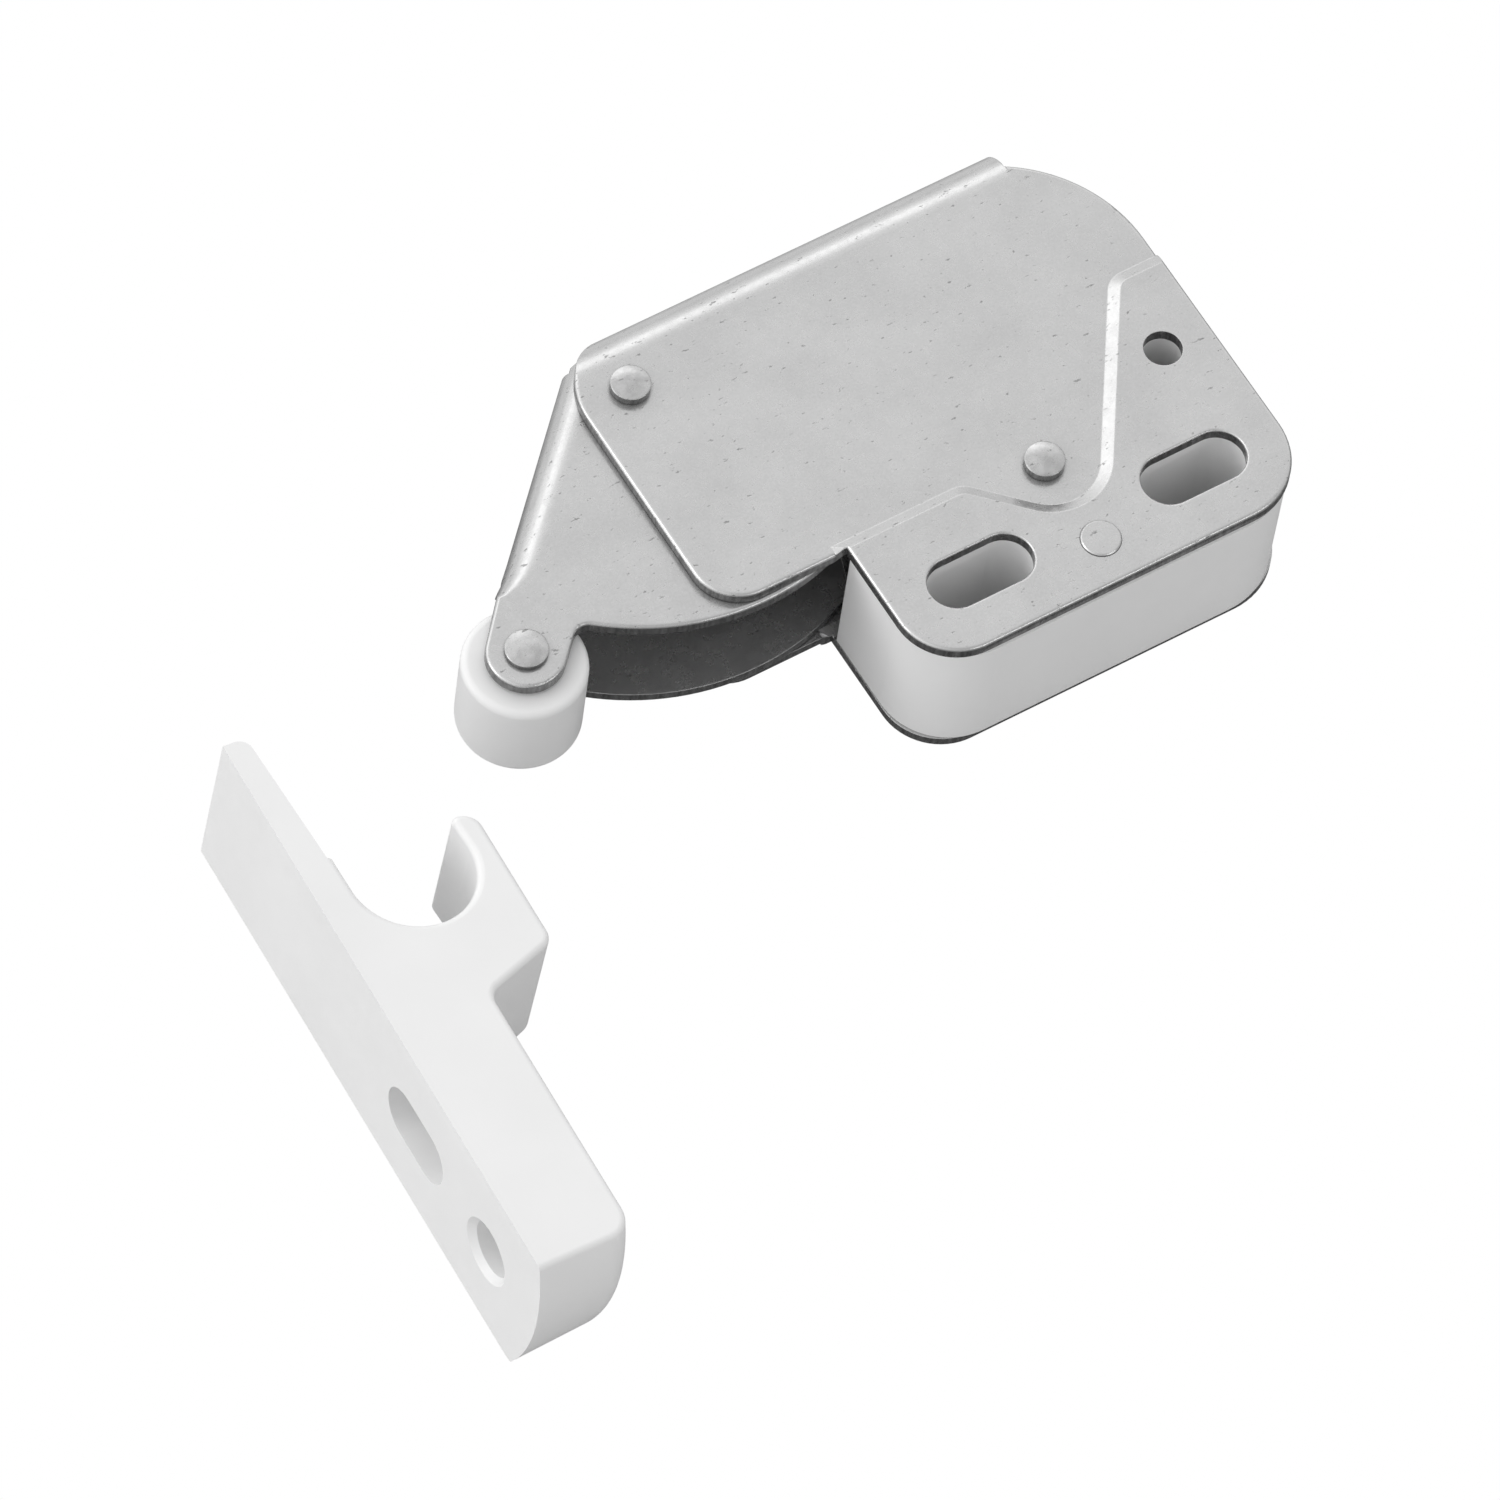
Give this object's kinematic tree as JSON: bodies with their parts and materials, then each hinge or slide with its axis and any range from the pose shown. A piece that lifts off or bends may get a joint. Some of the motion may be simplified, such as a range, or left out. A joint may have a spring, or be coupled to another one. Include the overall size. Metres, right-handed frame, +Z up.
{
  "type": "touch latch",
  "caption": "Push-to-open touch latch: folded steel housing with fixing slots, sprung lever with a roller, and a moulded keeper with a U-shaped mouth.",
  "frame": {"origin": "midway between the two fixing slots, on the outer face of the lower side plate", "axes": "+X along the slots away from the roller, +Y towards the folded spine, +Z up through both side plates"},
  "size_m": [0.0837, 0.0658, 0.014],
  "materials": {
    "plated_steel": "zinc plated, satin",
    "rivet_steel": "zinc plated, satin",
    "spring_steel": "oiled",
    "white_plastic": "moulded, satin",
    "roller_plastic": "moulded, satin",
    "dark_plastic": "moulded, greased"
  },
  "bodies": {
    "frame": {"housing": "plated_steel", "spacer_block": "white_plastic", "block_rivet": "rivet_steel", "pivot_rivet": "rivet_steel", "catch_rivet": "rivet_steel", "drive_spring": "spring_steel", "catch_spring": "spring_steel", "keeper": "white_plastic"},
    "lever": {"lever": "plated_steel", "roller_axle": "rivet_steel", "spring_bush": "dark_plastic", "cam": "dark_plastic"},
    "roller": {"roller": "roller_plastic"},
    "catch_arm": {"catch_arm": "dark_plastic"}
  },
  "joints": [
    {"name": "lever_swing", "type": "hinge", "parent": "frame", "child": "lever", "pos_m": [-0.02311, 0.02542, 0.00675], "axis": [0, 0, 1], "range_deg": [0, 44], "stiffness_Nm_per_rad": 0.02, "springref_deg": -34.38, "deforming": ["drive_spring"]},
    {"name": "roller_spin", "type": "hinge", "parent": "lever", "child": "roller", "pos_m": [-0.04065, 0.01055, 0.00675], "axis": [0, 0, 1], "continuous": true},
    {"name": "catch_swing", "type": "hinge", "parent": "frame", "child": "catch_arm", "pos_m": [-0.00016, 0.00562, 0.00675], "axis": [0, 0, 1], "range_deg": [-8, 0], "deforming": ["catch_spring"]}
  ],
  "couplings": [
    {"joint": "catch_swing", "follows": "lever_swing", "ratio": -0.18}
  ]
}
